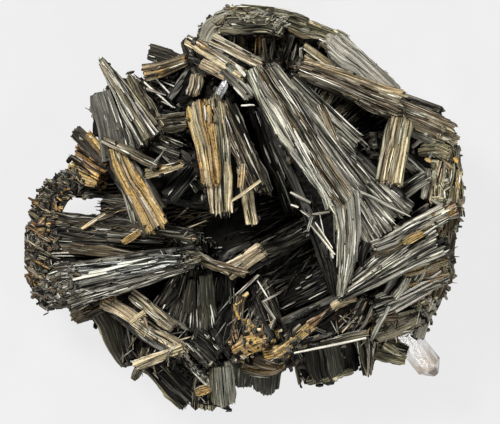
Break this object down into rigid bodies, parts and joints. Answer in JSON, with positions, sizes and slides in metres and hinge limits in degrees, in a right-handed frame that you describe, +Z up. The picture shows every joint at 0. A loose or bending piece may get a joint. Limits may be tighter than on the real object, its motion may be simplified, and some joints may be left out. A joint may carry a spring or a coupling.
{
  "type": "goethite crystal specimen",
  "caption": "Jackstraw cluster of striated goethite blades and laths with small clear quartz crystals, cut off flat underneath so that it rests on its base.",
  "frame": {"origin": "on the flat face that the cluster rests on, under the middle of the cluster", "axes": "+Z up out of the rest face, +X along the longer side to the right, +Y across it to the back"},
  "size_m": [0.0889, 0.0819, 0.0429],
  "materials": {
    "goethite": "striated blades, dull to silky, grey-olive to brown with rusty patches",
    "quartz": "clear to slightly milky, glassy"
  },
  "bodies": {
    "root": {"goethite_cluster": "goethite", "quartz_crystal": "quartz", "quartz_splinter": "quartz"}
  },
  "joints": []
}
